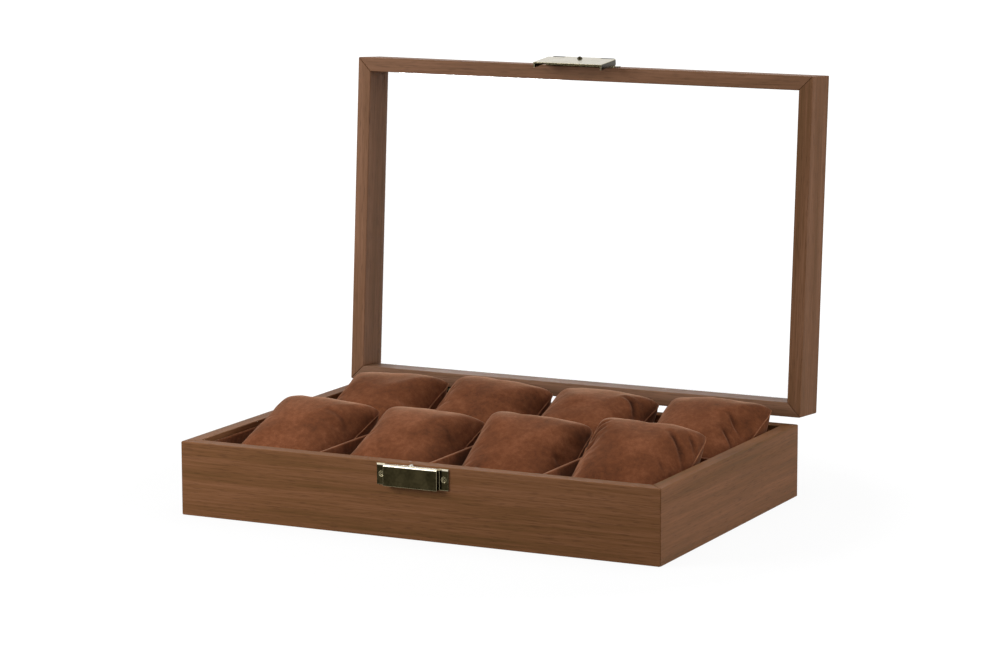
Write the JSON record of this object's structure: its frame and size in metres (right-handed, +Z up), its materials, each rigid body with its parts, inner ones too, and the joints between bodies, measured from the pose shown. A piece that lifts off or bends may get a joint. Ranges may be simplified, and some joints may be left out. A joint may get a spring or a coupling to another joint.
{
  "type": "watch box",
  "caption": "Low wooden watch box with a hinged glass lid, a flap hasp over a sprung catch, a lined tray of cells and a cushion in each cell.",
  "frame": {"origin": "middle of the underside, on the surface that the box stands on", "axes": "+X to the right along the front, +Y to the back where the hinges are, +Z up; the lid is stored open"},
  "size_m": [0.3, 0.2475, 0.2517],
  "materials": {
    "wood_veneer": "satin walnut-coloured veneer with fine straight grain",
    "bottom_board": "plain board",
    "dark_felt": "thin black felt",
    "brown_velvet": "short-pile brown velvet",
    "antique_brass": "polished antique brass",
    "steel": "plated steel",
    "clear_glass": "clear flat glass"
  },
  "bodies": {
    "base": {"base_front_panel": "wood_veneer", "base_rear_panel": "wood_veneer", "base_left_panel": "wood_veneer", "base_right_panel": "wood_veneer", "base_bottom_panel": "bottom_board", "underside_felt": "dark_felt", "floor_liner": "brown_velvet", "front_liner": "brown_velvet", "rear_liner": "brown_velvet", "left_liner": "brown_velvet", "right_liner": "brown_velvet", "row_divider": "brown_velvet", "left_divider": "brown_velvet", "middle_divider": "brown_velvet", "right_divider": "brown_velvet", "catch_case": "antique_brass", "catch_spring": "steel", "catch_screws": "steel", "left_hinge_base_leaf": "antique_brass", "left_hinge_pin": "steel", "right_hinge_base_leaf": "antique_brass", "right_hinge_pin": "steel", "hinge_base_screws": "steel"},
    "lid": {"lid_front_rail": "wood_veneer", "lid_rear_rail": "wood_veneer", "lid_left_rail": "wood_veneer", "lid_right_rail": "wood_veneer", "lid_glass": "clear_glass", "hasp_plate": "antique_brass", "hasp_screws": "steel", "left_hinge_lid_leaf": "antique_brass", "right_hinge_lid_leaf": "antique_brass", "hinge_lid_screws": "steel"},
    "hasp_pin_body": {"hasp_pin": "steel"},
    "hasp_flap_body": {"hasp_flap": "antique_brass", "hasp_stud": "antique_brass"},
    "plunger_body": {"catch_plunger": "steel"},
    "front_cushion_1_body": {"front_cushion_1": "brown_velvet"},
    "front_cushion_2_body": {"front_cushion_2": "brown_velvet"},
    "front_cushion_3_body": {"front_cushion_3": "brown_velvet"},
    "front_cushion_4_body": {"front_cushion_4": "brown_velvet"},
    "rear_cushion_1_body": {"rear_cushion_1": "brown_velvet"},
    "rear_cushion_2_body": {"rear_cushion_2": "brown_velvet"},
    "rear_cushion_3_body": {"rear_cushion_3": "brown_velvet"},
    "rear_cushion_4_body": {"rear_cushion_4": "brown_velvet"}
  },
  "joints": [
    {"name": "lid_hinge", "type": "hinge", "parent": "base", "child": "lid", "pos_m": [0, 0.1028, 0.0435], "axis": [-1, 0, 0], "range_deg": [-93.9, 0]},
    {"name": "hasp_droop", "type": "hinge", "parent": "lid", "child": "hasp_pin_body", "pos_m": [0, 0.1238, 0.24855], "axis": [-1, 0, 0], "range_deg": [0, 8.01]},
    {"name": "hasp_lift", "type": "hinge", "parent": "hasp_pin_body", "child": "hasp_flap_body", "pos_m": [0, 0.1238, 0.24855], "axis": [-1, 0, 0], "range_deg": [0, 120]},
    {"name": "catch_press", "type": "slide", "parent": "base", "child": "plunger_body", "axis": [0, 0, 1], "range_m": [-0.001, 0], "stiffness_N_per_m": 400, "springref_m": 0.001, "deforming": ["catch_spring"]},
    {"name": "front_cushion_1_lift", "type": "slide", "parent": "base", "child": "front_cushion_1_body", "axis": [0, 0, 1], "range_m": [0, 0.06]},
    {"name": "front_cushion_2_lift", "type": "slide", "parent": "base", "child": "front_cushion_2_body", "axis": [0, 0, 1], "range_m": [0, 0.06]},
    {"name": "front_cushion_3_lift", "type": "slide", "parent": "base", "child": "front_cushion_3_body", "axis": [0, 0, 1], "range_m": [0, 0.06]},
    {"name": "front_cushion_4_lift", "type": "slide", "parent": "base", "child": "front_cushion_4_body", "axis": [0, 0, 1], "range_m": [0, 0.06]},
    {"name": "rear_cushion_1_lift", "type": "slide", "parent": "base", "child": "rear_cushion_1_body", "axis": [0, 0, 1], "range_m": [0, 0.06]},
    {"name": "rear_cushion_2_lift", "type": "slide", "parent": "base", "child": "rear_cushion_2_body", "axis": [0, 0, 1], "range_m": [0, 0.06]},
    {"name": "rear_cushion_3_lift", "type": "slide", "parent": "base", "child": "rear_cushion_3_body", "axis": [0, 0, 1], "range_m": [0, 0.06]},
    {"name": "rear_cushion_4_lift", "type": "slide", "parent": "base", "child": "rear_cushion_4_body", "axis": [0, 0, 1], "range_m": [0, 0.06]}
  ],
  "couplings": [
    {"joint": "hasp_droop", "follows": "lid_hinge", "ratio": -0.085197}
  ]
}
